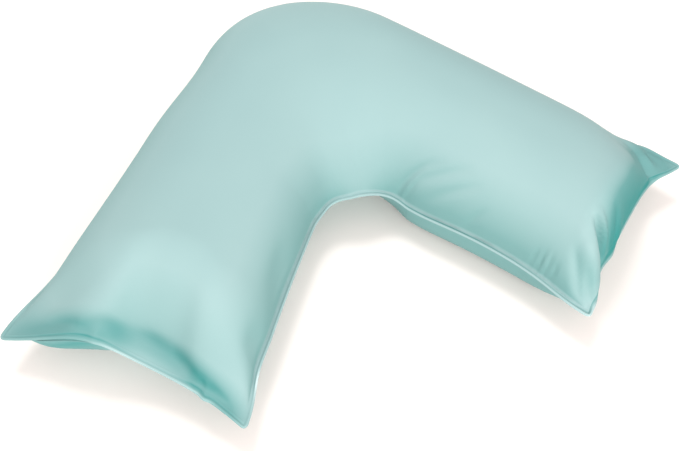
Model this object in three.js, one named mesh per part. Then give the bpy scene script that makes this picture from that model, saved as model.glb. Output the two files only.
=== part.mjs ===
// A filled V shaped pillow lying on its back.
// A top panel and a bottom panel are sewn together all round, so the pillow is one soft solid:
// a crown above the seam, a flatter belly below it and a narrow seam lip where they meet.
//
// Everything is in millimetres and +Z is up. The outer corner of the V points to +Y and the two
// arms run to -Y, the right one to +X and the left one to -X.
// A place on the pillow is told by two distances: fromEnd, measured along an arm from its sewn
// end, and across, measured from the arm's middle line, negative towards the outer edge and
// positive towards the notch.

import * as THREE from "three";

// Plan of the V
const HALF_ANGLE = THREE.MathUtils.degToRad(37.7);
const ARM_WIDTH = 302;
const OUTER_RADIUS = 207;
const INNER_RADIUS = 82;
const SIDE_DRAW = 14;
const SIDE_DRAW_REACH = 90;
const END_DRAW_REACH = 120;

// Filling, above and below the seam
const CROWN = 108;
const BELLY = 84;
const SEAM_HEIGHT = 56;
const SEAM_THICKNESS = 3;
const LIP = 5;
const OUTER_BULGE = 7;
const INNER_BULGE = -1;
const BULGE_WIDTH = 14;
const END_BULGE_POWER = 2;
const FLOOR_BLEND = 12;

// How round the two panels are across the pillow, and how the filling rises past the hem
const TOP_SECTION = { roundness: 2.4, power: 0.55 };
const BOTTOM_SECTION = { roundness: 3, power: 0.5 };
const UNDER_POWER = 1.5;
const EAR_POWER = 3;

// Steps of the surface
const ARM_STEPS = 24;
const FAN_STEPS = 40;
const LIP_STEPS = 2;
const PANEL_STEPS = 11;

// The two arms: length of the outer edge, extra width at the end, how far the middle of the end
// is drawn in and how squarely, the flat hem along the end, how much wider its flange is and how
// softly the filling starts after it, the run over which the filling rises from the end above
// and below the seam, how it rises above, and how far the belly swells past the end at the outer
// and inner corner
const ARMS = {
  right: {
    side: 1, length: 791, spread: 2, endDraw: 22, squareness: 5, hem: 1, flange: 0, softness: 0,
    shoulder: 62, underShoulder: 45, endSection: { roundness: 2.4, power: 0.55 },
    outerBulge: 8, innerBulge: 6,
  },
  left: {
    side: -1, length: 806, spread: 18, endDraw: 34, squareness: 2, hem: 4, flange: 19, softness: 12,
    shoulder: 140, underShoulder: 34, endSection: { roundness: 2, power: 0.8 },
    outerBulge: 39, innerBulge: -12,
  },
};

// The flat flange at the left end is widest near the middle
const FLANGE_MIDDLE = 16;
const FLANGE_SPAN = 46;
const FLANGE_POWER = 4;
const UNDER_FLANGE = 0.7;

// The four pointed ears at the corners of the ends: edge is -1 for outer and 1 for inner, and
// flat is the distance from the corner over which the filling above the seam stays away
const EAR_SIZE = 80;
const CORNER_POWER = 2.3;
const UNDER_CORNERS = 0.6;
const EARS = [
  { arm: "left", edge: -1, reach: -9, flare: 8, lift: -8, flat: 75 },
  { arm: "left", edge: 1, reach: -4, flare: -3, lift: -7, flat: 45 },
  { arm: "right", edge: -1, reach: 6, flare: 19, lift: 0, flat: 74 },
  { arm: "right", edge: 1, reach: -7, flare: 9, lift: -1, flat: 25 },
];

// Where the seam wanders: how far it rides up, moves towards the notch and reaches past the end,
// and how much more the panel below it swells. The spans are how far each such place spreads.
const SEAM_RIDES = [
  { arm: "right", fromEnd: 190, across: 151, spans: [170, 70], lift: 2, inwards: 8, reach: 0, bulge: 9 },
  { arm: "right", fromEnd: 480, across: 151, spans: [130, 70], lift: 0, inwards: 8, reach: 0, bulge: 0 },
  { arm: "right", fromEnd: 62, across: -151, spans: [32, 30], lift: 2, inwards: -12, reach: 0, bulge: 0 },
  { arm: "right", fromEnd: 0, across: -138, spans: [30, 22], lift: 0, inwards: 0, reach: 6, bulge: 0 },
  { arm: "right", fromEnd: 0, across: 50, spans: [30, 18], lift: 0, inwards: 0, reach: 4, bulge: 0 },
  { arm: "right", fromEnd: 0, across: 126, spans: [30, 22], lift: 0, inwards: 0, reach: 9, bulge: 0 },
  { arm: "left", fromEnd: 484, across: 151, spans: [130, 70], lift: 0, inwards: 8, reach: 0, bulge: 0 },
  { arm: "left", fromEnd: 0, across: -60, spans: [70, 44], lift: 22, inwards: 0, reach: 0, bulge: 0 },
  { arm: "left", fromEnd: 75, across: 151, spans: [35, 40], lift: 0, inwards: -4, reach: 0, bulge: 0 },
  { arm: "left", fromEnd: 428, across: -151, spans: [84, 90], lift: 0, inwards: 12, reach: 0, bulge: 0 },
];

// Soft folds of the top panel: a ridge has a positive height, a trough a negative one. Each is
// highest halfway along, keeps a share of its height at its ends and fades out near the seam.
const FOLD_END_SHARE = 0.25;
const FOLD_FADE = 10;
const FOLDS = [
  { arm: "right", from: [46, 106], to: [10, 120], width: 13, height: 7 },
  { arm: "right", from: [46, 78], to: [20, 90], width: 7, height: -9 },
  { arm: "right", from: [30, 86], to: [4, 100], width: 7, height: -11 },
  { arm: "right", from: [34, 66], to: [6, 82], width: 5, height: 6 },
  { arm: "right", from: [52, 121], to: [18, 145], width: 7, height: -3 },
  { arm: "right", from: [74, -124], to: [8, -112], width: 8, height: -7 },
  { arm: "right", from: [60, -146], to: [22, -130], width: 7, height: -3 },
  { arm: "right", from: [365, 146], to: [282, 112], width: 9, height: -2 },
  { arm: "right", from: [330, 146], to: [241, 103], width: 9, height: -2 },
  { arm: "left", from: [22, -112], to: [13, -66], width: 9, height: -4 },
  { arm: "left", from: [12, -66], to: [24, -12], width: 8, height: -3 },
  { arm: "left", from: [26, -12], to: [26, 36], width: 9, height: -4 },
  { arm: "left", from: [26, 36], to: [8, 80], width: 8, height: -4 },
  { arm: "left", from: [8, 84], to: [9, 130], width: 8, height: -3 },
  { arm: "left", from: [240, 134], to: [150, 142], width: 13, height: -4 },
  { arm: "left", from: [120, 142], to: [70, 134], width: 11, height: -3 },
];

function clamp01(value) {
  return THREE.MathUtils.clamp(value, 0, 1);
}

function bell(distance, span, power = 2) {
  return Math.exp(-(Math.abs(distance / span) ** power));
}

// How far a filled panel has risen: 0 at its edge, 1 and level at share 1
function risen(share, section) {
  return (1 - (1 - clamp01(share)) ** section.roundness) ** section.power;
}

// One row across the pillow: its outer and inner end in plan, its distance from the sewn end,
// its arm and the direction in which that arm runs outwards
function armRow(arm, fromEnd) {
  const along = new THREE.Vector2(Math.sin(HALF_ANGLE) * arm.side, -Math.cos(HALF_ANGLE));
  const inwards = new THREE.Vector2(-Math.cos(HALF_ANGLE) * arm.side, -Math.sin(HALF_ANGLE));
  const outer = along.clone().multiplyScalar(arm.length - fromEnd);
  const inner = outer.clone().addScaledVector(inwards, ARM_WIDTH);
  return { outer, inner, fromEnd, arm, along };
}

// A row of the bend, turned about the middle of the notch's round
function fanRow(angle, fanStart) {
  const fanRadius = ARM_WIDTH + INNER_RADIUS;
  const centre = new THREE.Vector2(0, -fanRadius / Math.sin(HALF_ANGLE));
  const direction = new THREE.Vector2(Math.cos(angle), Math.sin(angle));
  const folded = Math.min(angle, Math.PI - angle);
  const edgeLine = fanRadius / Math.cos(folded - HALF_ANGLE);
  const mirrored = new THREE.Vector2(Math.cos(folded), Math.sin(folded));
  const along = new THREE.Vector2(Math.sin(HALF_ANGLE), -Math.cos(HALF_ANGLE));
  const hit = mirrored.clone().multiplyScalar(edgeLine).add(centre);
  let reach = edgeLine;
  if (hit.dot(along) < OUTER_RADIUS / Math.tan(HALF_ANGLE)) {
    const rise = (fanRadius - OUTER_RADIUS) / Math.sin(HALF_ANGLE);
    reach = rise * Math.sin(folded) + Math.sqrt(OUTER_RADIUS ** 2 - (rise * Math.cos(folded)) ** 2);
  }
  const arm = angle <= Math.PI / 2 ? ARMS.right : ARMS.left;
  const turned = (folded - HALF_ANGLE) * (INNER_RADIUS + ARM_WIDTH / 2);
  return {
    outer: centre.clone().addScaledVector(direction, reach),
    inner: centre.clone().addScaledVector(direction, INNER_RADIUS),
    fromEnd: arm.length - fanStart + turned,
    arm,
    along: new THREE.Vector2(0, 0),
  };
}

// Rows from the right arm's end round the bend to the left arm's end, closest at the ends
function planRows() {
  const fanStart = (ARM_WIDTH + INNER_RADIUS) / Math.tan(HALF_ANGLE);
  const armRows = (arm) => {
    const straight = arm.length - fanStart;
    return Array.from({ length: ARM_STEPS }, (_, step) => {
      const share = 1 - Math.cos((step / ARM_STEPS) * (Math.PI / 2));
      return armRow(arm, straight * share);
    });
  };
  const fanRows = Array.from({ length: FAN_STEPS + 1 }, (_, step) => {
    const angle = HALF_ANGLE + ((Math.PI - 2 * HALF_ANGLE) * step) / FAN_STEPS;
    return fanRow(angle, fanStart);
  });
  return [...armRows(ARMS.right), ...fanRows, ...armRows(ARMS.left).reverse()];
}

// Places across a row, from -1 at the outer edge to 1 at the inner edge, closest at the seam
function acrossSteps() {
  const half = ARM_WIDTH / 2;
  const lip = Array.from({ length: LIP_STEPS }, (_, step) => (LIP * step) / LIP_STEPS);
  const panel = Array.from({ length: PANEL_STEPS }, (_, step) => {
    const share = 1 - Math.cos((step / PANEL_STEPS) * (Math.PI / 2));
    return LIP + (half - LIP) * share;
  });
  const fromEdge = [...lip, ...panel].map((distance) => 1 - distance / half);
  return [...fromEdge.map((place) => -place), 0, ...fromEdge.reverse()];
}

// 0 for a negative gap and the gap itself for a positive one, with a soft change between
function softly(gap, softness) {
  return (gap + Math.hypot(gap, softness)) / 2;
}

// Distances of a place past the lip and past the hem, and how much of the filling stands there
// across the pillow
function filling(row, place, section, flange) {
  const { arm, fromEnd } = row;
  const inset = Math.max(((1 - Math.abs(place)) * ARM_WIDTH) / 2 - LIP, 0);
  const across = risen(inset / (ARM_WIDTH / 2 - LIP), section);
  const wider = bell((place * ARM_WIDTH) / 2 - FLANGE_MIDDLE, FLANGE_SPAN, FLANGE_POWER);
  const hem = arm.hem + flange * wider;
  const pastHem = softly(fromEnd - hem, arm.softness) - softly(-hem, arm.softness);
  return { inset, pastHem, across };
}

// 1 where the filling is full, down to 0 at the corners, which are flat over a share of each
// ear's own distance
function corners(row, place, share) {
  let full = 1;
  for (const ear of EARS) {
    if (ARMS[ear.arm] !== row.arm) continue;
    const gap = Math.hypot(((1 - place * ear.edge) * ARM_WIDTH) / 2, row.fromEnd);
    full *= 1 - bell(gap, ear.flat * share, CORNER_POWER);
  }
  return full;
}

// The seam's own plan and height at a place, before any filling
function seamPoint(row, place) {
  const { arm, fromEnd, along, outer, inner } = row;
  const straight = arm.length - (ARM_WIDTH + INNER_RADIUS) / Math.tan(HALF_ANGLE);
  const widening = (arm.spread / 2) * clamp01(1 - fromEnd / straight);
  const drawnIn = SIDE_DRAW * (1 - bell(fromEnd, SIDE_DRAW_REACH));
  const share = 0.5 + place * (0.5 + (widening - drawnIn) / ARM_WIDTH);
  const plan = outer.clone().lerp(inner, share);
  const inwards = inner.clone().sub(outer).normalize();
  const endDraw = arm.endDraw * (1 - Math.abs(place) ** arm.squareness);
  plan.addScaledVector(along, -endDraw * bell(fromEnd, END_DRAW_REACH));
  let height = SEAM_HEIGHT;
  for (const ear of EARS) {
    if (ARMS[ear.arm] !== arm) continue;
    const weight = bell(fromEnd, EAR_SIZE) * clamp01(place * ear.edge) ** EAR_POWER;
    plan.addScaledVector(along, ear.reach * weight);
    plan.addScaledVector(inwards, ear.edge * ear.flare * weight);
    height += ear.lift * weight;
  }
  let bulge = place < 0 ? OUTER_BULGE : INNER_BULGE;
  for (const ride of SEAM_RIDES) {
    if (ARMS[ride.arm] !== arm) continue;
    const offset = (place * ARM_WIDTH) / 2 - ride.across;
    const weight = bell(fromEnd - ride.fromEnd, ride.spans[0]) * bell(offset, ride.spans[1]);
    plan.addScaledVector(inwards, ride.inwards * weight);
    plan.addScaledVector(along, ride.reach * weight);
    height += ride.lift * weight;
    bulge += ride.bulge * weight;
  }
  return { plan, inwards, height, bulge };
}

function topPoint(row, place) {
  const { arm } = row;
  const seam = seamPoint(row, place);
  const fill = filling(row, place, TOP_SECTION, arm.flange);
  const along = risen(fill.pastHem / arm.shoulder, arm.endSection) * corners(row, place, 1);
  const height = seam.height + SEAM_THICKNESS / 2 + CROWN * fill.across * along;
  return new THREE.Vector3(seam.plan.x, seam.plan.y, height);
}

// The belly flattens on the floor, with a soft blend where it leaves it
function onFloor(height) {
  if (height < -FLOOR_BLEND) return 0;
  if (height > FLOOR_BLEND) return height;
  return (height + FLOOR_BLEND) ** 2 / (4 * FLOOR_BLEND);
}

// A swelling that is nothing at the seam, greatest one width in and gone further on
function swelling(distance) {
  const widths = distance / BULGE_WIDTH;
  return widths * Math.exp(1 - widths);
}

function bottomPoint(row, place) {
  const { arm } = row;
  const seam = seamPoint(row, place);
  const fill = filling(row, place, BOTTOM_SECTION, arm.flange * UNDER_FLANGE);
  const full = corners(row, place, UNDER_CORNERS);
  const along = (1 - Math.exp(-((fill.pastHem / arm.underShoulder) ** UNDER_POWER))) * full;
  const plan = seam.plan.clone();
  const sideways = seam.bulge * swelling(fill.inset) * along;
  plan.addScaledVector(seam.inwards, Math.sign(place) * sideways);
  const towardsOuter = ((1 - place) / 2) ** END_BULGE_POWER;
  const endBulge = THREE.MathUtils.lerp(arm.innerBulge, arm.outerBulge, towardsOuter);
  plan.addScaledVector(row.along, endBulge * swelling(fill.pastHem) * fill.across * full);
  const height = seam.height - SEAM_THICKNESS / 2 - BELLY * fill.across * along;
  return new THREE.Vector3(plan.x, plan.y, onFloor(height));
}

function makeGrid(rows, places, pointAt) {
  return rows.map((row) => places.map((place) => pointAt(row, place)));
}

// Distance from a place to a fold's line, and how far along that line it is
function foldGap(fold, fromEnd, across) {
  const start = new THREE.Vector2(...fold.from);
  const run = new THREE.Vector2(...fold.to).sub(start);
  const offset = new THREE.Vector2(fromEnd, across).sub(start);
  const share = clamp01(offset.dot(run) / run.lengthSq());
  return { share, gap: offset.addScaledVector(run, -share).length() };
}

function foldHeight(row, place) {
  let height = 0;
  for (const fold of FOLDS) {
    if (ARMS[fold.arm] !== row.arm) continue;
    const { share, gap } = foldGap(fold, row.fromEnd, (place * ARM_WIDTH) / 2);
    const fading = THREE.MathUtils.lerp(FOLD_END_SHARE, 1, Math.sin(Math.PI * share));
    height += fold.height * fading * bell(gap, fold.width);
  }
  return height;
}

// Folds push the panel along its own facing and leave the seam where it is
function foldedGrid(grid, rows, places) {
  return grid.map((line, i) => line.map((point, j) => {
    const edge = i === 0 || j === 0 || i === rows.length - 1 || j === places.length - 1;
    if (edge) return point.clone();
    const alongRow = grid[i + 1][j].clone().sub(grid[i - 1][j]);
    const acrossRow = grid[i][j + 1].clone().sub(grid[i][j - 1]);
    const facing = alongRow.cross(acrossRow).normalize();
    const fromSeam = ((1 - Math.abs(places[j])) * ARM_WIDTH) / 2;
    const fading = clamp01(fromSeam / FOLD_FADE);
    return point.clone().addScaledVector(facing, foldHeight(rows[i], places[j]) * fading);
  }));
}

// Joins the two panels and the narrow wall of the seam between them into one closed body
function closedBody(top, bottom) {
  const rowCount = top.length;
  const columnCount = top[0].length;
  const positions = [...top.flat(), ...bottom.flat()].flatMap((point) => point.toArray());
  const topIndex = (i, j) => i * columnCount + j;
  const bottomIndex = (i, j) => rowCount * columnCount + topIndex(i, j);
  const faces = [];
  for (let i = 0; i < rowCount - 1; i += 1) {
    for (let j = 0; j < columnCount - 1; j += 1) {
      faces.push(topIndex(i, j), topIndex(i + 1, j), topIndex(i + 1, j + 1));
      faces.push(topIndex(i, j), topIndex(i + 1, j + 1), topIndex(i, j + 1));
      faces.push(bottomIndex(i, j), bottomIndex(i + 1, j + 1), bottomIndex(i + 1, j));
      faces.push(bottomIndex(i, j), bottomIndex(i, j + 1), bottomIndex(i + 1, j + 1));
    }
  }
  const rim = [];
  for (let i = 0; i < rowCount - 1; i += 1) rim.push([i, 0]);
  for (let j = 0; j < columnCount - 1; j += 1) rim.push([rowCount - 1, j]);
  for (let i = rowCount - 1; i > 0; i -= 1) rim.push([i, columnCount - 1]);
  for (let j = columnCount - 1; j > 0; j -= 1) rim.push([0, j]);
  rim.forEach((here, step) => {
    const next = rim[(step + 1) % rim.length];
    faces.push(topIndex(...next), topIndex(...here), bottomIndex(...here));
    faces.push(topIndex(...next), bottomIndex(...here), bottomIndex(...next));
  });
  const geometry = new THREE.BufferGeometry();
  geometry.setAttribute("position", new THREE.Float32BufferAttribute(positions, 3));
  geometry.setIndex(faces);
  geometry.computeVertexNormals();
  return geometry;
}

// The origin is under the middle of the pillow, on the floor
function centred(geometry) {
  geometry.computeBoundingBox();
  const { min, max } = geometry.boundingBox;
  return geometry.translate(-(min.x + max.x) / 2, -(min.y + max.y) / 2, -min.z);
}

function makePillow() {
  const rows = planRows();
  const places = acrossSteps();
  const top = foldedGrid(makeGrid(rows, places, topPoint), rows, places);
  const bottom = makeGrid(rows, places, bottomPoint);
  const cotton = new THREE.MeshStandardMaterial({ color: 0xacd4d0, roughness: 0.8, metalness: 0 });
  const pillow = new THREE.Mesh(centred(closedBody(top, bottom)), cotton);
  pillow.name = "pillow";
  return pillow;
}

const object = new THREE.Group();
object.add(makePillow());

export default object;
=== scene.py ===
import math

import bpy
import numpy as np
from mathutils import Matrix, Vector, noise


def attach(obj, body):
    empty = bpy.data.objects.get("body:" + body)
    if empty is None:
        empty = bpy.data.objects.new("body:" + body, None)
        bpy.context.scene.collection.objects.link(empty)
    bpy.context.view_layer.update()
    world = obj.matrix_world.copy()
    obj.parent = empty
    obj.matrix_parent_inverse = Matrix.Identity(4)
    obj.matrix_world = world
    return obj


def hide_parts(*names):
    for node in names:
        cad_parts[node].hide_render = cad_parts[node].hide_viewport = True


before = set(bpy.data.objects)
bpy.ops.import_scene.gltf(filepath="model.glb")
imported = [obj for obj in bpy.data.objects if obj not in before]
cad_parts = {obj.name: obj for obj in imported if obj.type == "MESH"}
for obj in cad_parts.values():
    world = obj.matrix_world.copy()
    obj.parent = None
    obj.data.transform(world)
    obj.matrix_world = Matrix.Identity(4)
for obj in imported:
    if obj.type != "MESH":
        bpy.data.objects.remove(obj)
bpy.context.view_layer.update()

# A filled V shaped pillow in a plain aqua cotton cover, lying on its back on a white floor.
# Everything is in metres and +Z is up. The outer corner of the V points to +Y and the arms run
# to -Y. A place on the pillow is told by from_end, the distance along an arm from its sewn end,
# and across, the distance from the arm's middle line: negative towards the outer edge and
# positive towards the notch.

# Plan of the V
HALF_ANGLE = math.radians(37.7)
ARM_WIDTH = 0.302
OUTER_RADIUS = 0.207
INNER_RADIUS = 0.082
SIDE_DRAW = 0.014
SIDE_DRAW_REACH = 0.09
END_DRAW_REACH = 0.12
CORNER_ROUND = 0.008

# Up to FAN_START from the outer corner the rows across the pillow fan out round the notch's root,
# and beyond it they are parallel
FAN_RADIUS = ARM_WIDTH + INNER_RADIUS
FAN_START = FAN_RADIUS / math.tan(HALF_ANGLE)

# The fan's middle row counts as the right arm's, however its angle is rounded
ROUNDING = 1e-9

# Filling, above and below the seam. A section is how round the filling's rise is and the power
# that it is raised to, as in risen.
CROWN = 0.108
BELLY = 0.084
SEAM_HEIGHT = 0.056
SEAM_THICKNESS = 0.003
LIP = 0.0058
OUTER_BULGE = 0.007
INNER_BULGE = -0.001
BULGE_WIDTH = 0.014
END_BULGE_POWER = 2
FLOOR_BLEND = 0.012
TOP_SECTION = (2.4, 0.55)
BOTTOM_SECTION = (3.0, 0.5)
UNDER_POWER = 1.5
UNDER_CORNERS = 0.6
EAR_SIZE = 0.08
EAR_POWER = 3
CORNER_POWER = 1.8

# The flat flange at the left end is widest in the middle
FLANGE_MIDDLE = 0.016
FLANGE_SPAN = 0.046
FLANGE_POWER = 4

# The arms, as the photo shows them
RIGHT, LEFT = 1, -1
END_SECTIONS = {RIGHT: (2.4, 0.55), LEFT: (2.0, 0.8)}

# Each arm: length of the outer edge, extra width at the end, how far the middle of the end is
# drawn in and how squarely, the flat hem along the end, how much wider its flange is and how
# softly the filling starts after it, the run over which the filling rises from the end above and
# below the seam, and the belly's swelling past the end at the outer and inner corner
ARM_COLUMNS = ("length", "spread", "end_draw", "squareness", "hem", "flange", "softness",
               "shoulder", "under_shoulder", "outer_bulge", "inner_bulge")
ARMS = {
    RIGHT: (0.791, 0.002, 0.022, 5, 0.001, 0, 0, 0.062, 0.045, 0.008, 0.006),
    LEFT: (0.806, 0.018, 0.034, 2, 0.004, 0.019, 0.012, 0.140, 0.028, 0.054, -0.012),
}

# Where both panels rise more gently from the seam: arm, from_end, across, span along, span across
# and how much is added to the section's power
GENTLE_RISES = [
    (RIGHT, 0.507, 0.151, 0.110, 0.150, 0.40),
    (LEFT, 0.522, 0.151, 0.110, 0.150, 0.40),
]

# Pointed ears at the corners: arm, edge (-1 outer, 1 inner), reach, flare, lift and the distance
# from the corner over which the filling stays away
EARS = [
    (LEFT, -1, -0.009, 0.008, -0.008, 0.075),
    (LEFT, 1, -0.004, -0.003, -0.007, 0.045),
    (RIGHT, -1, 0.006, 0.019, 0, 0.081),
    (RIGHT, 1, -0.007, 0.009, -0.001, 0.025),
]

# Where the seam wanders: arm, from_end, across, span along, span across, then how far it rides
# up, moves towards the notch and reaches past the end, and the panel's extra swelling below it
SEAM_RIDES = [
    (RIGHT, 0.190, 0.151, 0.170, 0.070, 0.002, 0.008, 0, 0.009),
    (RIGHT, 0.480, 0.151, 0.130, 0.070, 0, 0.008, 0, 0),
    (RIGHT, 0.062, -0.151, 0.032, 0.030, 0.002, -0.012, 0, 0),
    (RIGHT, 0, -0.138, 0.030, 0.022, 0, 0, 0.006, 0),
    (RIGHT, 0, 0.050, 0.030, 0.018, 0, 0, 0.004, 0),
    (RIGHT, 0, 0.126, 0.030, 0.022, 0, 0, 0.009, 0),
    (LEFT, 0.484, 0.151, 0.130, 0.070, 0, 0.008, 0, 0),
    (LEFT, 0, -0.056, 0.070, 0.056, 0.029, 0, 0, 0),
    (LEFT, 0, -0.044, 0.012, 0.006, 0.002, 0, 0.0015, 0),
    (LEFT, 0, 0.092, 0.012, 0.006, 0.002, 0, 0.003, 0),
    (LEFT, 0.075, 0.151, 0.035, 0.040, 0, -0.004, 0, 0),
    (LEFT, 0.045, -0.151, 0.040, 0.030, 0, -0.001, 0, 0),
    (LEFT, 0.424, -0.151, 0.056, 0.090, 0, 0.011, 0, 0),
    (RIGHT, 0.507, 0.151, 0.120, 0.070, 0.018, 0.017, 0, -0.012),
    (LEFT, 0.522, 0.151, 0.120, 0.070, 0.018, 0.017, 0, -0.012),
    (RIGHT, 0.290, 0.151, 0.070, 0.070, -0.004, 0.008, 0, 0),
    (LEFT, 0.420, 0.151, 0.050, 0.070, 0, -0.006, 0, 0),
]

# A fold keeps this share of its height at its ends, and it fades this close to the long edges
FOLD_END_SHARE = 0.25
FOLD_FADE = 0.010

# Soft folds of the top panel: arm, from (from_end, across), to (from_end, across), width,
# height (negative for a trough)
FOLDS = [
    (RIGHT, (0.046, 0.106), (0.010, 0.120), 0.013, 0.007),
    (RIGHT, (0.048, 0.080), (0.022, 0.091), 0.005, -0.006),
    (RIGHT, (0.030, 0.087), (0.004, 0.101), 0.005, -0.011),
    (RIGHT, (0.044, 0.071), (0.012, 0.088), 0.0035, 0.006),
    (RIGHT, (0.026, 0.044), (0.004, 0.064), 0.006, -0.003),
    (RIGHT, (0.052, 0.121), (0.018, 0.145), 0.006, -0.004),
    (RIGHT, (0.030, 0.122), (0.004, 0.138), 0.005, -0.003),
    (RIGHT, (0.078, -0.126), (0.040, -0.118), 0.006, -0.005),
    (RIGHT, (0.040, -0.118), (0.004, -0.106), 0.007, -0.007),
    (RIGHT, (0.044, -0.130), (0.016, -0.120), 0.005, 0.003),
    (RIGHT, (0.056, -0.146), (0.022, -0.132), 0.005, -0.003),
    (RIGHT, (0.022, -0.100), (0.002, -0.106), 0.006, -0.005),
    (RIGHT, (0.104, -0.112), (0.060, -0.100), 0.024, -0.003),
    (RIGHT, (0.362, 0.146), (0.278, 0.112), 0.006, -0.0032),
    (RIGHT, (0.340, 0.146), (0.266, 0.112), 0.005, 0.0014),
    (RIGHT, (0.327, 0.144), (0.241, 0.106), 0.006, -0.0028),
    (RIGHT, (0.280, 0.144), (0.216, 0.116), 0.005, -0.0020),
    (RIGHT, (0.214, 0.146), (0.190, 0.132), 0.004, -0.0014),
    (RIGHT, (0.106, 0.147), (0.101, 0.136), 0.0030, -0.0018),
    (RIGHT, (0.094, 0.147), (0.089, 0.134), 0.0032, -0.0022),
    (RIGHT, (0.087, 0.147), (0.083, 0.136), 0.0025, 0.0014),
    (RIGHT, (0.081, 0.147), (0.078, 0.134), 0.0032, -0.0022),
    (RIGHT, (0.069, 0.147), (0.067, 0.136), 0.0030, -0.0018),
    (LEFT, (0.022, -0.112), (0.013, -0.066), 0.009, -0.004),
    (LEFT, (0.012, -0.066), (0.024, -0.012), 0.008, -0.003),
    (LEFT, (0.026, -0.012), (0.026, 0.036), 0.009, -0.004),
    (LEFT, (0.026, 0.036), (0.008, 0.080), 0.008, -0.004),
    (LEFT, (0.008, 0.078), (0.007, 0.102), 0.006, -0.003),
    (LEFT, (0.010, 0.090), (0.009, 0.130), 0.008, -0.003),
    (LEFT, (0.240, 0.134), (0.150, 0.142), 0.013, -0.004),
    (LEFT, (0.120, 0.142), (0.070, 0.134), 0.011, -0.003),
]

# The sewn edge: a rolled rim, the groove of the stitching and the turned fold above it, each
# with its distance from the edge, width and height
RIM_ROLL = (0.0010, 0.0010, 0.0002)
SEAM_GROOVE = (0.0029, 0.0010, -0.0005)
SEAM_FOLD = (0.0052, 0.0012, 0.0003)

# Where the sewn edge stands out more: arm, from_end, across, span along, span across, then how
# much more relief it has, how much painted shade its groove gets and how much painted highlight
# its rim gets
RELIEF, GROOVE_SHADE, RIM_HIGHLIGHT = 0, 1, 2
SEAM_ACCENTS = [
    (RIGHT, 0.240, 0.151, 0.150, 0.080, 0.6, 0.80, 0),
    (RIGHT, 0, 0.151, 0.040, 0.040, 1.0, 0.20, 0.20),
    (RIGHT, 0, 0, 0.020, 0.110, 1.0, 0.35, 0.30),
    (LEFT, 0, 0.020, 0.020, 0.110, 0, 0.10, 0.12),
    (LEFT, 0, -0.020, 0.020, 0.022, 0.2, 0, 0.20),
    (LEFT, 0, 0.080, 0.020, 0.022, 0.2, 0, 0.25),
    (LEFT, 0.060, 0.151, 0.016, 0.040, 1.0, 0.10, 0.80),
]

# Fine unevenness of the cloth: gathers near the stitching and low swells further in, which differ
# between the panels by their seeds
PUCKER_LENGTH = 0.016
PUCKER_REACH = 0.010
PUCKER_HEIGHT = 0.0005
SWELL_LENGTH = 0.16
SWELL_HEIGHT = 0.0014
TOP_SEED, BOTTOM_SEED = 1.7, 5.3

# Grid steps: some narrow ones at each edge, then each wider than the last up to the largest, along
# an arm and across it, and the steps round the fan and down the rim
FIRST_STEP = 0.0007
FIRST_STEPS = 10
LARGEST_STEP = 0.0038
LARGEST_ACROSS = 0.0028
STEP_GROWTH = 1.2
FAN_STEPS = 104
WALL_STEPS = 4


def bell_of(distance, span, power):
    return np.exp(-(np.abs(distance / span) ** power))


def bell(distance, span):
    return bell_of(distance, span, 2)


def spaced(total, largest):
    """Places from 0 to total, closest at 0."""
    steps = [FIRST_STEP] * FIRST_STEPS
    while sum(steps) < total:
        steps.append(min(steps[-1] * STEP_GROWTH, largest))
    places = np.concatenate([[0], np.cumsum(steps)])
    return places * total / places[-1]


def arm_value(side, column):
    place = ARM_COLUMNS.index(column)
    return np.where(side == LEFT, ARMS[LEFT][place], ARMS[RIGHT][place])


def plan_rows():
    """Rows across the pillow, from the right arm's end round the bend to the left arm's end:
    outer point, inner point, from_end, side and the direction in which the arm runs out."""
    out = np.array([math.sin(HALF_ANGLE), -math.cos(HALF_ANGLE)])
    inwards = np.array([-math.cos(HALF_ANGLE), -math.sin(HALF_ANGLE)])
    centre = np.array([0, -FAN_RADIUS / math.sin(HALF_ANGLE)])
    rise = (FAN_RADIUS - OUTER_RADIUS) / math.sin(HALF_ANGLE)

    def arm_rows(side):
        mirror = np.array([side, 1])
        length = arm_value(side, "length")
        rows = []
        for from_end in spaced(length - FAN_START, LARGEST_STEP)[:-1]:
            outer = out * (length - from_end)
            rows.append((outer * mirror, (outer + inwards * ARM_WIDTH) * mirror,
                         from_end, side, out * mirror))
        return rows

    def fan_row(angle):
        folded = min(angle, math.pi - angle)
        reach = FAN_RADIUS / math.cos(folded - HALF_ANGLE)
        hit = centre + reach * np.array([math.cos(folded), math.sin(folded)])
        # near the outer corner the row ends on its round, not on the straight edge
        if hit @ out < OUTER_RADIUS / math.tan(HALF_ANGLE):
            root = OUTER_RADIUS ** 2 - (rise * math.cos(folded)) ** 2
            reach = rise * math.sin(folded) + math.sqrt(root)
        side = RIGHT if angle <= math.pi / 2 + ROUNDING else LEFT
        turned = (folded - HALF_ANGLE) * (INNER_RADIUS + ARM_WIDTH / 2)
        direction = np.array([math.cos(angle), math.sin(angle)])
        return (centre + direction * reach, centre + direction * INNER_RADIUS,
                arm_value(side, "length") - FAN_START + turned, side, np.zeros(2))

    angles = np.linspace(HALF_ANGLE, math.pi - HALF_ANGLE, FAN_STEPS + 1)
    return arm_rows(RIGHT) + [fan_row(a) for a in angles] + arm_rows(LEFT)[::-1]


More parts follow.
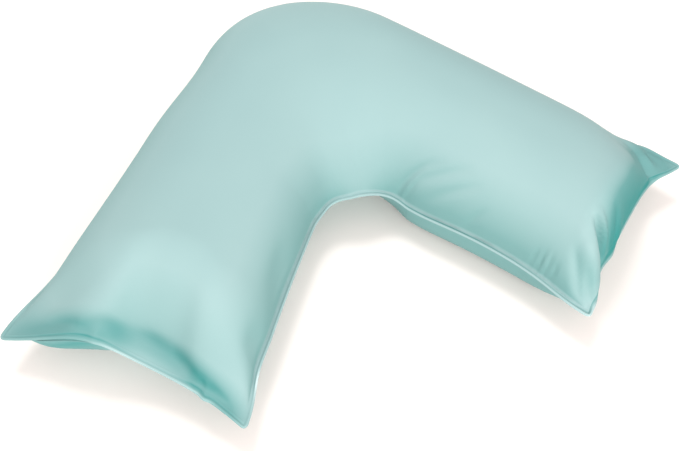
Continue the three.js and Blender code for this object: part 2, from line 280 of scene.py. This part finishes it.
class Surface:
    """The two panels as grids of points, a row for each plan row and a column for each place
    from the outer to the inner edge."""

    def __init__(self):
        outer, inner, from_end, side, out = (np.array(column) for column in zip(*plan_rows()))
        half = ARM_WIDTH / 2
        inset = spaced(half, LARGEST_ACROSS)
        place = np.concatenate([inset / half - 1, (1 - inset / half)[-2::-1]])
        self.out = out[:, None]
        self.inwards = inner - outer
        self.inwards /= np.linalg.norm(self.inwards, axis=1)[:, None]
        self.inwards = self.inwards[:, None]
        self.place, self.from_end = np.meshgrid(place, from_end)
        self.side = np.repeat(side[:, None], len(place), 1)
        self.across = self.place * half
        self.from_side = half - np.abs(self.across)
        self.seam(outer[:, None], inner[:, None])
        self.top = self.panel(1)
        self.bottom = self.panel(-1)

    def near(self, arm, from_end, across, span_along, span_across):
        """1 at a place on an arm, fading to 0 with the distance from it."""
        along = bell(self.from_end - from_end, span_along)
        return along * bell(self.across - across, span_across) * (self.side == arm)

    def seam(self, outer, inner):
        """Plan and height of the seam's surface before any filling."""
        place, from_end, side = self.place, self.from_end, self.side
        straight = arm_value(side, "length") - FAN_START
        widening = arm_value(side, "spread") / 2 * np.clip(1 - from_end / straight, 0, 1)
        drawn_in = SIDE_DRAW * (1 - bell(from_end, SIDE_DRAW_REACH))
        share = 0.5 + place * (0.5 + (widening - drawn_in) / ARM_WIDTH)
        plan = outer * (1 - share[..., None]) + inner * share[..., None]
        along = -arm_value(side, "end_draw") * bell(from_end, END_DRAW_REACH)
        along = along * (1 - np.abs(place) ** arm_value(side, "squareness"))
        sideways = np.zeros_like(place)
        height = np.full_like(place, SEAM_HEIGHT)
        bulge = np.where(place < 0, OUTER_BULGE, INNER_BULGE)
        for arm, edge, reach, flare, lift, _ in EARS:
            weight = bell(from_end, EAR_SIZE) * np.clip(place * edge, 0, 1) ** EAR_POWER
            weight = weight * (side == arm)
            along = along + reach * weight
            sideways = sideways + edge * flare * weight
            height = height + lift * weight
        for *spot, lift, inwards, reach, swell in SEAM_RIDES:
            weight = self.near(*spot)
            along = along + reach * weight
            sideways = sideways + inwards * weight
            height = height + lift * weight
            bulge = bulge + swell * weight
        # the corners are round, not sharp
        past_end = np.clip(CORNER_ROUND - from_end, 0, None)
        past_side = np.clip(CORNER_ROUND - self.from_side, 0, None)
        along = along + past_end * (np.sqrt(1 - (past_side / CORNER_ROUND) ** 2 / 2) - 1)
        pull = past_side * (1 - np.sqrt(1 - (past_end / CORNER_ROUND) ** 2 / 2))
        sideways = sideways - np.sign(place) * pull
        self.plan = plan + self.out * along[..., None] + self.inwards * sideways[..., None]
        self.height = height
        self.bulge = bulge

    def filling(self, section):
        """Distances past the lip and past the hem with its flange, and how much of the filling
        stands at each place across."""
        inset = np.clip(self.from_side - LIP, 0, None)
        hem = arm_value(self.side, "hem")
        wider = bell_of(self.across - FLANGE_MIDDLE, FLANGE_SPAN, FLANGE_POWER)
        hem = hem + arm_value(self.side, "flange") * wider
        softness = arm_value(self.side, "softness")
        past_hem = softly(self.from_end - hem, softness) - softly(-hem, softness)
        roundness, power = section
        for *place, gentler in GENTLE_RISES:
            power = power + gentler * self.near(*place)
        return inset, past_hem, risen(inset / (ARM_WIDTH / 2 - LIP), (roundness, power))

    def corners(self, share):
        """1 where the filling is full, down to 0 at the corners, which are flat over a share of
        each ear's own distance."""
        full = np.ones_like(self.place)
        for arm, edge, _, _, _, flat in EARS:
            gap = np.hypot(ARM_WIDTH / 2 - self.across * edge, self.from_end)
            full = full * (1 - bell_of(gap, flat * share, CORNER_POWER) * (self.side == arm))
        return full

    def panel(self, facing):
        """The top panel for facing 1, the bottom one for facing -1."""
        section = TOP_SECTION if facing > 0 else BOTTOM_SECTION
        inset, past_hem, across = self.filling(section)
        if facing > 0:
            along = np.zeros_like(self.place)
            for arm, rising in END_SECTIONS.items():
                run = past_hem / arm_value(self.side, "shoulder")
                along = np.where(self.side == arm, risen(run, rising), along)
            height = CROWN * across * along * self.corners(1)
            return np.dstack([self.plan, self.height + SEAM_THICKNESS / 2 + height])
        run = past_hem / arm_value(self.side, "under_shoulder")
        corners = self.corners(UNDER_CORNERS)
        along = (1 - np.exp(-(run ** UNDER_POWER))) * corners
        sideways = np.sign(self.place) * self.bulge * swelling(inset) * along
        outer, inner = (arm_value(self.side, k) for k in ("outer_bulge", "inner_bulge"))
        towards_outer = ((1 - self.place) / 2) ** END_BULGE_POWER
        past_end = (inner + (outer - inner) * towards_outer) * swelling(past_hem)
        past_end = past_end * across * corners
        plan = self.plan + self.inwards * sideways[..., None] + self.out * past_end[..., None]
        height = self.height - SEAM_THICKNESS / 2 - BELLY * across * along
        return np.dstack([plan, on_floor(height)])


def risen(share, section):
    """How far a filled panel has risen, from 0 at its edge to 1 and level at share 1."""
    roundness, power = section
    return (1 - (1 - np.clip(share, 0, 1)) ** roundness) ** power


def softly(gap, softness):
    """0 for a negative gap and the gap itself for a positive one, with a soft change between."""
    return (gap + np.hypot(gap, softness)) / 2


def swelling(distance):
    widths = distance / BULGE_WIDTH
    return widths * np.exp(1 - widths)


def on_floor(height):
    """The belly flattens on the floor, with a soft blend where it leaves it."""
    blend = (height + FLOOR_BLEND) ** 2 / (4 * FLOOR_BLEND)
    return np.where(height < -FLOOR_BLEND, 0, np.where(height > FLOOR_BLEND, height, blend))


def facings(grid):
    """Unit normals of a grid, upwards on a top panel."""
    normal = np.cross(np.gradient(grid, axis=0), np.gradient(grid, axis=1))
    return normal / np.linalg.norm(normal, axis=2)[..., None]


def fold_heights(surface):
    total = np.zeros_like(surface.place)
    for arm, start, stop, width, height in FOLDS:
        run = np.subtract(stop, start)
        from_end = surface.from_end - start[0]
        across = surface.across - start[1]
        share = np.clip((from_end * run[0] + across * run[1]) / (run @ run), 0, 1)
        gap = np.hypot(from_end - share * run[0], across - share * run[1])
        fading = FOLD_END_SHARE + (1 - FOLD_END_SHARE) * np.sin(math.pi * share)
        total += height * fading * bell(gap, width) * (surface.side == arm)
    return total * np.clip(surface.from_side / FOLD_FADE, 0, 1)


def seam_accent(surface, column):
    """How much the accents add all over the surface: to the relief, to the painted shade in the
    groove or to the painted highlight on the rim, picked by column.
    """
    total = np.zeros_like(surface.place)
    for *place, relief, groove_shade, rim in SEAM_ACCENTS:
        total += (relief, groove_shade, rim)[column] * surface.near(*place)
    return total


def seam_relief(surface):
    """Heights of the rolled rim, the stitched groove and the fold beside it, all round."""
    edge = np.minimum(surface.from_side, surface.from_end)
    total = np.zeros_like(edge)
    for distance, width, height in (RIM_ROLL, SEAM_GROOVE, SEAM_FOLD):
        total += height * (1 + seam_accent(surface, RELIEF)) * bell(edge - distance, width)
    return total


def noise_grid(grid, length, seed):
    offset = Vector((seed, seed * 2, seed * 3))
    flat = [noise.noise(Vector(point) / length + offset) for point in grid.reshape(-1, 3)]
    return np.array(flat).reshape(grid.shape[:2])


def puckers(surface, grid, seed):
    """Small gathers that run in from the stitching."""
    edge = np.minimum(surface.from_side, surface.from_end)
    rim = np.dstack([surface.plan, np.zeros_like(surface.place)])
    fading = bell(edge, PUCKER_REACH) * np.clip(edge / LIP, 0, 1)
    return PUCKER_HEIGHT * noise_grid(rim, PUCKER_LENGTH, seed) * fading


def dressed(surface, grid, facing, seed):
    """A panel with its folds, seam relief and fine unevenness."""
    relief = seam_relief(surface) + puckers(surface, grid, seed)
    past_lip = np.minimum(surface.from_side, surface.from_end) - LIP
    swell = SWELL_HEIGHT * noise_grid(grid, SWELL_LENGTH, seed)
    relief += swell * np.clip(past_lip / PUCKER_REACH, 0, 1)
    if facing > 0:
        relief += fold_heights(surface)
    moved = grid + facings(grid) * (facing * relief)[..., None]
    if facing < 0:
        moved[..., 2] = np.where(grid[..., 2] <= 0, 0, np.maximum(moved[..., 2], 0))
    return moved


def rim_places(rows, columns):
    """Row and column of each point of the rim, anticlockwise seen from above."""
    rim = [(i, 0) for i in range(rows - 1)]
    rim += [(rows - 1, j) for j in range(columns - 1)]
    rim += [(i, columns - 1) for i in range(rows - 1, 0, -1)]
    rim += [(0, j) for j in range(columns - 1, 0, -1)]
    return rim


def pillow_mesh(surface):
    top = dressed(surface, surface.top, 1, TOP_SEED)
    bottom = dressed(surface, surface.bottom, -1, BOTTOM_SEED)
    rows, columns = surface.place.shape
    points = np.concatenate([top.reshape(-1, 3), bottom.reshape(-1, 3)])
    indices = np.arange(rows * columns).reshape(rows, columns)
    a, b, c, d = indices[:-1, :-1], indices[1:, :-1], indices[1:, 1:], indices[:-1, 1:]
    top_faces = np.stack([a, b, c, d], -1).reshape(-1, 4)
    bottom_faces = np.stack([a, d, c, b], -1).reshape(-1, 4) + rows * columns

    # the rim between the panels is a half round
    rim = rim_places(rows, columns)
    upper = np.array([top[i, j] for i, j in rim])
    lower = np.array([bottom[i, j] for i, j in rim])
    middle = (upper + lower) / 2
    tangent = np.roll(middle, -1, axis=0) - np.roll(middle, 1, axis=0)
    outward = np.cross(tangent, [0, 0, 1])
    outward /= np.linalg.norm(outward, axis=1)[:, None]
    rings = [np.array([indices[i, j] for i, j in rim])]
    for step in range(1, WALL_STEPS):
        angle = math.pi * step / WALL_STEPS
        ring = middle + (upper - lower) / 2 * math.cos(angle)
        ring = ring + outward * (SEAM_THICKNESS / 2 * math.sin(angle))
        rings.append(len(points) + np.arange(len(rim)))
        points = np.concatenate([points, ring])
    rings.append(rings[0] + rows * columns)
    wall = []
    for high, low in zip(rings, rings[1:]):
        wall.append(np.stack([np.roll(high, -1), high, low, np.roll(low, -1)], -1))
    faces = np.concatenate([top_faces, bottom_faces, *wall])

    shift = -(points.min(axis=0) + points.max(axis=0)) / 2
    points[:, :2] += shift[:2]
    mesh = bpy.data.meshes.new("pillow_cover")
    mesh.from_pydata(points.tolist(), [], faces.tolist())
    mesh.shade_smooth()
    add_uvs(mesh, surface, rings, rim)
    add_painted_shade_and_highlight(mesh, surface, rings)
    return mesh


def add_uvs(mesh, surface, rings, rim):
    """Distances on the cloth in metres, along the V's middle line and across it. The bottom panel
    and the rim have those of the top panel."""
    middle = surface.top[:, surface.place.shape[1] // 2]
    steps = np.linalg.norm(np.diff(middle, axis=0), axis=1)
    along = np.concatenate([[0], np.cumsum(steps)])
    across_steps = np.linalg.norm(np.diff(surface.top, axis=1), axis=2)
    across = np.concatenate([np.zeros((len(along), 1)), np.cumsum(across_steps, axis=1)], 1)
    flat = np.dstack([np.repeat(along[:, None], across.shape[1], 1), across]).reshape(-1, 2)
    rim_uv = [flat[rings[0]]] * (WALL_STEPS - 1)
    uv = np.concatenate([flat, flat, *rim_uv])
    layer = mesh.uv_layers.new(name="cloth")
    corners = np.empty(len(mesh.loops), dtype=np.int64)
    mesh.loops.foreach_get("vertex_index", corners)
    layer.data.foreach_set("uv", uv[corners].ravel())


# Colour of the cotton where it lies open, the painted shade colour that stands in for shade on
# steep cloth at the ends, in hollows and in the seam's groove, and the painted highlight colour
# along the very edge of the seam
OPEN_COLOURS = ((0.258, 0.383, 0.383, 1), (0.272, 0.397, 0.395, 1))
PAINTED_SHADE_COLOUR = (0.004, 0.180, 0.169, 1)
EDGE_HIGHLIGHT_COLOUR = (0.560, 0.680, 0.680, 1)

# The cloth counts as steep where its normal's height is lower than STEEP_BELOW, and fully steep
# STEEP_RANGE below that. The painted shade amounts are shares of the painted shade colour, and the
# edge's painted highlight is a share of the highlight colour.
STEEP_BELOW = 0.85
STEEP_RANGE = 0.6
PAINTED_SHADE_WHERE_FLAT = 0.55
PAINTED_SHADE_ON_SIDES = 0.46
PAINTED_SHADE_IN_GROOVE = 0.06
EDGE_HIGHLIGHT_REACH = 0.0009
EDGE_PAINTED_HIGHLIGHT = 0.02

# Where shade is painted into the cotton's colour, in the top panel and in the bottom one: arm,
# from_end, across, span along, span across, how much
PAINTED_SHADE_ABOVE = [
    (RIGHT, 0, -0.035, 0.034, 0.072, 2.4),
    (RIGHT, 0.008, 0.044, 0.032, 0.036, 1.3),
    (RIGHT, 0.024, 0.083, 0.014, 0.009, 0.2),
    (RIGHT, 0.008, 0.094, 0.014, 0.012, 0.5),
    (RIGHT, 0.036, -0.100, 0.030, 0.026, 1.0),
    (RIGHT, 0.010, -0.108, 0.020, 0.018, 1.3),
    (RIGHT, 0.036, -0.140, 0.040, 0.026, 0.9),
    (LEFT, 0.013, -0.104, 0.020, 0.032, 0.9),
    (LEFT, 0.005, -0.064, 0.018, 0.032, 1.0),
    (LEFT, 0.016, -0.022, 0.016, 0.022, 0.8),
    (LEFT, 0.024, 0.016, 0.016, 0.026, 0.75),
    (LEFT, 0.020, 0.050, 0.016, 0.024, 0.75),
    (LEFT, 0.008, 0.084, 0.016, 0.022, 1.1),
    (LEFT, 0.004, 0.120, 0.022, 0.028, 1.1),
    (LEFT, 0.010, -0.140, 0.050, 0.024, 0.5),
]
PAINTED_SHADE_BELOW = [
    (LEFT, 0, -0.070, 0.040, 0.070, 0.8),
    (RIGHT, 0, 0, 0.040, 0.120, 1.0),
]


def painted_shade_share(surface, places):
    total = np.zeros_like(surface.place)
    for *place, amount in places:
        total += amount * surface.near(*place)
    return np.clip(total, 0, 1).ravel()


def add_painted_shade_and_highlight(mesh, surface, rings):
    """Painted shade and painted highlight: how much shade is painted into the cotton's colour,
    most on steep cloth near the sewn ends and in the seam's groove, and how much highlight is
    painted along the very edge."""
    normals = np.empty(len(mesh.vertices) * 3)
    mesh.vertex_normals.foreach_get("vector", normals)
    steep = np.clip((STEEP_BELOW - normals[2::3]) / STEEP_RANGE, 0, 1)
    steep = steep[:surface.place.size * 2]
    # painted shade: in the listed spots near the ends and on steep cloth everywhere
    painted_shade_spots = [painted_shade_share(surface, rows) for rows in (PAINTED_SHADE_ABOVE, PAINTED_SHADE_BELOW)]
    painted_shade = np.concatenate(painted_shade_spots) * (PAINTED_SHADE_WHERE_FLAT + (1 - PAINTED_SHADE_WHERE_FLAT) * steep)
    painted_shade = np.maximum(painted_shade, PAINTED_SHADE_ON_SIDES * steep)
    edge = np.minimum(surface.from_side, surface.from_end)
    distance, width, _ = SEAM_GROOVE
    # painted shade in the seam's groove
    groove_shade = (PAINTED_SHADE_IN_GROOVE + seam_accent(surface, GROOVE_SHADE)) * bell(edge - distance, width)
    painted_shade = painted_shade + np.tile(groove_shade.ravel(), 2)
    # painted highlight along the very edge of the seam
    painted_highlight = (EDGE_PAINTED_HIGHLIGHT + seam_accent(surface, RIM_HIGHLIGHT)) * bell(edge, EDGE_HIGHLIGHT_REACH)
    for name, values in (("painted_shade", painted_shade), ("painted_highlight", np.tile(painted_highlight.ravel(), 2))):
        layer = mesh.attributes.new(name, "FLOAT", "POINT")
        wall = [values[rings[0]]] * (WALL_STEPS - 1)
        layer.data.foreach_set("value", np.clip(np.concatenate([values, *wall]), 0, 1))


# How the cotton takes the light
ROUGHNESS = 0.68
SPECULAR = 0.12
SHEEN = 0.03
SHEEN_ROUGHNESS = 0.6

# Cloudy change between the two open colours, threads of the weave about a millimetre apart, and
# fine crinkles
CLOUD_SCALE = 5
CLOUD_DETAIL = 2
CLOUD_RANGE = (0.35, 0.65)
WEAVE_SCALE = 320
WEAVE_DISTORTION = 0.4
WEAVE_STRENGTH = 0.12
WEAVE_HEIGHT = 0.0002
CRINKLE_SCALE = 45
CRINKLE_DETAIL = 3
CRINKLE_STRENGTH = 0.15
CRINKLE_HEIGHT = 0.0008


def cotton():
    """Smooth plain cotton with a faint satin sheen, with painted shade and a painted edge
    highlight mixed into its colour.
    """
    material = bpy.data.materials.new("aqua_cotton")
    material.use_nodes = True
    nodes, links = material.node_tree.nodes, material.node_tree.links
    shader = nodes["Principled BSDF"]
    shader.inputs["Roughness"].default_value = ROUGHNESS
    shader.inputs["Specular IOR Level"].default_value = SPECULAR
    shader.inputs["Sheen Weight"].default_value = SHEEN
    shader.inputs["Sheen Roughness"].default_value = SHEEN_ROUGHNESS

    place = nodes.new("ShaderNodeTexCoord")
    clouds = nodes.new("ShaderNodeTexNoise")
    clouds.inputs["Scale"].default_value = CLOUD_SCALE
    clouds.inputs["Detail"].default_value = CLOUD_DETAIL
    links.new(place.outputs["Object"], clouds.inputs["Vector"])
    open_colour = nodes.new("ShaderNodeValToRGB")
    for end, (position, value) in enumerate(zip(CLOUD_RANGE, OPEN_COLOURS)):
        open_colour.color_ramp.elements[end].position = position
        open_colour.color_ramp.elements[end].color = value
    links.new(clouds.outputs["Fac"], open_colour.inputs["Fac"])
    # painted shade: the open colour is mixed towards the painted shade colour by the mesh's
    # attribute
    painted_shade = nodes.new("ShaderNodeAttribute")
    painted_shade.attribute_name = "painted_shade"
    colour = nodes.new("ShaderNodeMix")
    colour.data_type = "RGBA"
    colour.inputs["B"].default_value = PAINTED_SHADE_COLOUR
    links.new(painted_shade.outputs["Fac"], colour.inputs["Factor"])
    links.new(open_colour.outputs["Color"], colour.inputs["A"])
    # painted highlight: the colour is mixed towards the pale highlight colour along the seam's
    # edge
    painted_highlight = nodes.new("ShaderNodeAttribute")
    painted_highlight.attribute_name = "painted_highlight"
    highlighted = nodes.new("ShaderNodeMix")
    highlighted.data_type = "RGBA"
    highlighted.inputs["B"].default_value = EDGE_HIGHLIGHT_COLOUR
    links.new(painted_highlight.outputs["Fac"], highlighted.inputs["Factor"])
    links.new(colour.outputs["Result"], highlighted.inputs["A"])
    links.new(highlighted.outputs["Result"], shader.inputs["Base Color"])

    # the threads cross where both waves are high
    threads = []
    for direction in ("X", "Y"):
        wave = nodes.new("ShaderNodeTexWave")
        wave.bands_direction = direction
        wave.inputs["Scale"].default_value = WEAVE_SCALE
        wave.inputs["Distortion"].default_value = WEAVE_DISTORTION
        links.new(place.outputs["UV"], wave.inputs["Vector"])
        threads.append(wave)
    weave = nodes.new("ShaderNodeMath")
    weave.operation = "MULTIPLY"
    links.new(threads[0].outputs["Fac"], weave.inputs[0])
    links.new(threads[1].outputs["Fac"], weave.inputs[1])
    weave_bump = nodes.new("ShaderNodeBump")
    weave_bump.inputs["Strength"].default_value = WEAVE_STRENGTH
    weave_bump.inputs["Distance"].default_value = WEAVE_HEIGHT
    links.new(weave.outputs["Value"], weave_bump.inputs["Height"])

    crinkle = nodes.new("ShaderNodeTexNoise")
    crinkle.inputs["Scale"].default_value = CRINKLE_SCALE
    crinkle.inputs["Detail"].default_value = CRINKLE_DETAIL
    links.new(place.outputs["Object"], crinkle.inputs["Vector"])
    crinkle_bump = nodes.new("ShaderNodeBump")
    crinkle_bump.inputs["Strength"].default_value = CRINKLE_STRENGTH
    crinkle_bump.inputs["Distance"].default_value = CRINKLE_HEIGHT
    links.new(crinkle.outputs["Fac"], crinkle_bump.inputs["Height"])
    links.new(weave_bump.outputs["Normal"], crinkle_bump.inputs["Normal"])
    links.new(crinkle_bump.outputs["Normal"], shader.inputs["Normal"])
    return material


def make_pillow():
    mesh = pillow_mesh(Surface())
    mesh.materials.append(cotton())
    cover = bpy.data.objects.new("pillow_cover", mesh)
    bpy.context.scene.collection.objects.link(cover)
    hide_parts("pillow")
    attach(cover, "root")


# Warm white floor
FLOOR_SIZE = 12
FLOOR_COLOUR = (0.87, 0.80, 0.77, 1)


def make_floor():
    half = FLOOR_SIZE / 2
    mesh = bpy.data.meshes.new("floor")
    corners = [(-half, -half, 0), (half, -half, 0), (half, half, 0), (-half, half, 0)]
    mesh.from_pydata(corners, [], [(0, 1, 2, 3)])
    material = bpy.data.materials.new("white_floor")
    material.use_nodes = True
    shader = material.node_tree.nodes["Principled BSDF"]
    shader.inputs["Base Color"].default_value = FLOOR_COLOUR
    shader.inputs["Roughness"].default_value = 1
    shader.inputs["Specular IOR Level"].default_value = 0
    mesh.materials.append(material)
    floor = bpy.data.objects.new("floor", mesh)
    bpy.context.scene.collection.objects.link(floor)


# A soft studio: a light above and behind that casts the short shadows, a lower one from the front,
# both turned to the pillow, and a warm white surround that is brightest above the front left
KEY_PLACE = (-0.40, 1.90, 4.0)
KEY_SIZE = 1.6
KEY_POWER = 96
KEY_COLOUR = (0.95, 1.0, 1.0)
FILL_PLACE = (-0.2, -4.3, 1.3)
FILL_SIZE = 2.4
FILL_POWER = 170
FILL_COLOUR = (1.0, 0.98, 0.97)
SURROUND_COLOUR = (1.0, 0.98, 0.97)
BRIGHT_SIDE = (-0.32, -0.42, 0.84)
SURROUND_RANGE = (-0.6, 0.8)
SURROUND_LOW = 0.50
SURROUND_HIGH = 1.14


def make_surround():
    world = bpy.data.worlds.new("studio")
    world.use_nodes = True
    nodes, links = world.node_tree.nodes, world.node_tree.links
    background = nodes["Background"]
    background.inputs["Color"].default_value = (*SURROUND_COLOUR, 1)
    direction = nodes.new("ShaderNodeTexCoord")
    towards = nodes.new("ShaderNodeVectorMath")
    towards.operation = "DOT_PRODUCT"
    towards.inputs[1].default_value = Vector(BRIGHT_SIDE).normalized()
    links.new(direction.outputs["Generated"], towards.inputs[0])
    strength = nodes.new("ShaderNodeMapRange")
    strength.interpolation_type = "SMOOTHSTEP"
    strength.inputs["From Min"].default_value = SURROUND_RANGE[0]
    strength.inputs["From Max"].default_value = SURROUND_RANGE[1]
    strength.inputs["To Min"].default_value = SURROUND_LOW
    strength.inputs["To Max"].default_value = SURROUND_HIGH
    links.new(towards.outputs["Value"], strength.inputs["Value"])
    links.new(strength.outputs["Result"], background.inputs["Strength"])
    bpy.context.scene.world = world


def make_light(name, place, size, power, colour):
    light = bpy.data.lights.new(name, "AREA")
    light.shape = "DISK"
    light.size = size
    light.energy = power
    light.color = colour
    lamp = bpy.data.objects.new(name, light)
    lamp.location = place
    lamp.rotation_euler = (-Vector(place)).to_track_quat("-Z", "Y").to_euler()
    bpy.context.scene.collection.objects.link(lamp)


def make_lights():
    make_light("key", KEY_PLACE, KEY_SIZE, KEY_POWER, KEY_COLOUR)
    make_light("fill", FILL_PLACE, FILL_SIZE, FILL_POWER, FILL_COLOUR)
    make_surround()
    bpy.context.scene.view_settings.view_transform = "Standard"


# Camera: where it looks, from which side and how high, how far and how much it is rolled
LOOK_AT = Vector((-0.0448, -0.0971, 0.060))
AZIMUTH = math.radians(-27.09)
ELEVATION = math.radians(54.35)
DISTANCE = 1.150
ROLL = math.radians(8.97)
LENS = 43.90
SENSOR = 36


def make_camera():
    level = math.cos(ELEVATION)
    back = Vector((math.sin(AZIMUTH) * level, -math.cos(AZIMUTH) * level, math.sin(ELEVATION)))
    right = (-back).cross(Vector((0, 0, 1))).normalized()
    up = right.cross(-back)
    turned_right = right * math.cos(ROLL) + up * math.sin(ROLL)
    turned_up = up * math.cos(ROLL) - right * math.sin(ROLL)
    data = bpy.data.cameras.new("camera")
    data.sensor_width = SENSOR
    data.lens = LENS
    camera = bpy.data.objects.new("camera", data)
    turn = Matrix((turned_right, turned_up, back)).transposed()
    camera.matrix_world = Matrix.Translation(LOOK_AT + back * DISTANCE) @ turn.to_4x4()
    bpy.context.scene.collection.objects.link(camera)
    bpy.context.scene.camera = camera


make_camera()
make_pillow()
make_floor()
make_lights()
